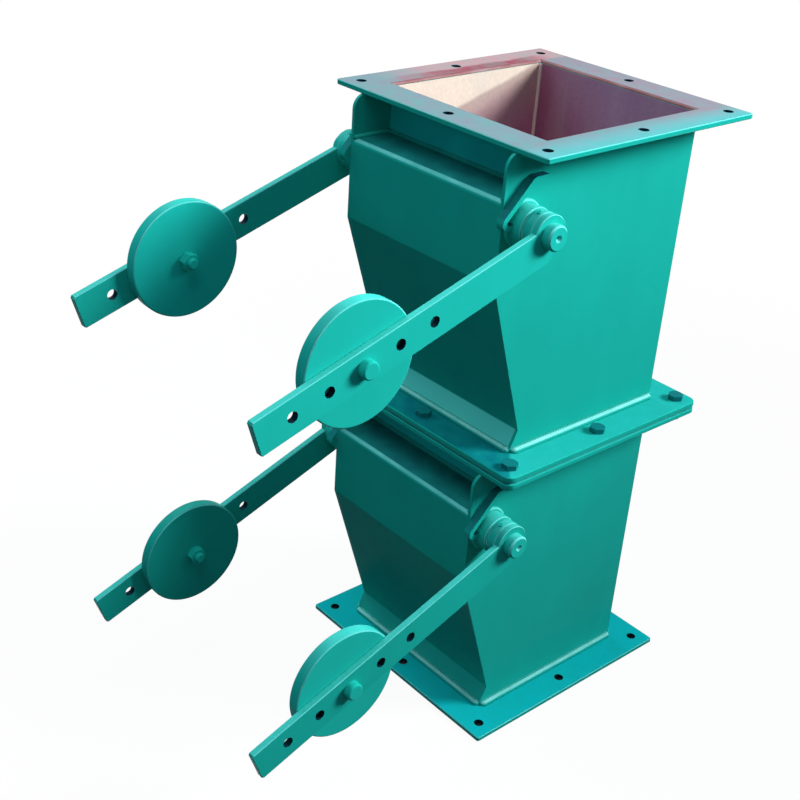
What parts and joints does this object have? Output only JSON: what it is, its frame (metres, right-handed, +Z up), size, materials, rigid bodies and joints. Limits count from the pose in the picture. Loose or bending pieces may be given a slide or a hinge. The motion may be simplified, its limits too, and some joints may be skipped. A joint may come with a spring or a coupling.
{
  "type": "flap valve",
  "caption": "Gravity flap valve for bulk goods: square flanged casings bolted one above the other, each with a sloping flap held shut by outside levers and disc weights.",
  "frame": {"origin": "middle of the duct on the lower face of the outlet flange", "axes": "+Z up along the duct, -Y to the front where the levers point, +X to the right seen from the front"},
  "size_m": [0.349, 0.6714, 0.74],
  "materials": {
    "casing_enamel": "gloss teal enamel, red-brown primer on the faces inside the duct",
    "lever_enamel": "gloss teal enamel",
    "fastener_enamel": "teal enamel brushed over the bolts",
    "inner_primer": "matte red-brown primer",
    "wear_steel": "bare steel, rubbed bright",
    "bush_bronze": "turned bronze",
    "seal_rubber": "matte sheet rubber",
    "gasket_rubber": "matte sheet rubber"
  },
  "bodies": {
    "casing": {"joint_gasket": "gasket_rubber", "joint_bolts": "fastener_enamel", "joint_nuts": "fastener_enamel", "joint_washers": "fastener_enamel", "lower_inlet_flange": "casing_enamel", "lower_outlet_flange": "casing_enamel", "lower_front_plate": "casing_enamel", "lower_neck_plate": "casing_enamel", "lower_rear_plate": "casing_enamel", "lower_seat_frame": "inner_primer", "lower_bearing_brackets": "casing_enamel", "lower_side_plate_left": "casing_enamel", "lower_side_plate_right": "casing_enamel", "lower_bearing_boss_left": "casing_enamel", "lower_bearing_boss_right": "casing_enamel", "lower_bush_left": "bush_bronze", "lower_bush_right": "bush_bronze", "upper_inlet_flange": "casing_enamel", "upper_outlet_flange": "casing_enamel", "upper_front_plate": "casing_enamel", "upper_neck_plate": "casing_enamel", "upper_rear_plate": "casing_enamel", "upper_seat_frame": "inner_primer", "upper_bearing_brackets": "casing_enamel", "upper_side_plate_left": "casing_enamel", "upper_side_plate_right": "casing_enamel", "upper_bearing_boss_left": "casing_enamel", "upper_bearing_boss_right": "casing_enamel", "upper_bush_left": "bush_bronze", "upper_bush_right": "bush_bronze"},
    "lower_flap": {"lower_shaft": "lever_enamel", "lower_flap_plate": "inner_primer", "lower_flap_ribs": "inner_primer", "lower_flap_seal": "seal_rubber", "lower_clamp_plate": "wear_steel", "lower_clamp_screws": "wear_steel", "lower_lever_hubs": "lever_enamel", "lower_lever_pins": "wear_steel", "lower_weight_bolts": "fastener_enamel", "lower_weight_nuts": "fastener_enamel", "lower_lever_left": "lever_enamel", "lower_lever_right": "lever_enamel", "lower_counterweight_left": "lever_enamel", "lower_counterweight_right": "lever_enamel"},
    "upper_flap": {"upper_shaft": "lever_enamel", "upper_flap_plate": "inner_primer", "upper_flap_ribs": "inner_primer", "upper_flap_seal": "seal_rubber", "upper_clamp_plate": "wear_steel", "upper_clamp_screws": "wear_steel", "upper_lever_hubs": "lever_enamel", "upper_lever_pins": "wear_steel", "upper_weight_bolts": "fastener_enamel", "upper_weight_nuts": "fastener_enamel", "upper_lever_left": "lever_enamel", "upper_lever_right": "lever_enamel", "upper_counterweight_left": "lever_enamel", "upper_counterweight_right": "lever_enamel"}
  },
  "joints": [
    {"name": "lower_flap_hinge", "type": "hinge", "parent": "casing", "child": "lower_flap", "pos_m": [0, -0.146, 0.286], "axis": [-1, 0, 0], "range_deg": [0, 40]},
    {"name": "upper_flap_hinge", "type": "hinge", "parent": "casing", "child": "upper_flap", "pos_m": [0, -0.146, 0.6575], "axis": [-1, 0, 0], "range_deg": [0, 40]}
  ]
}
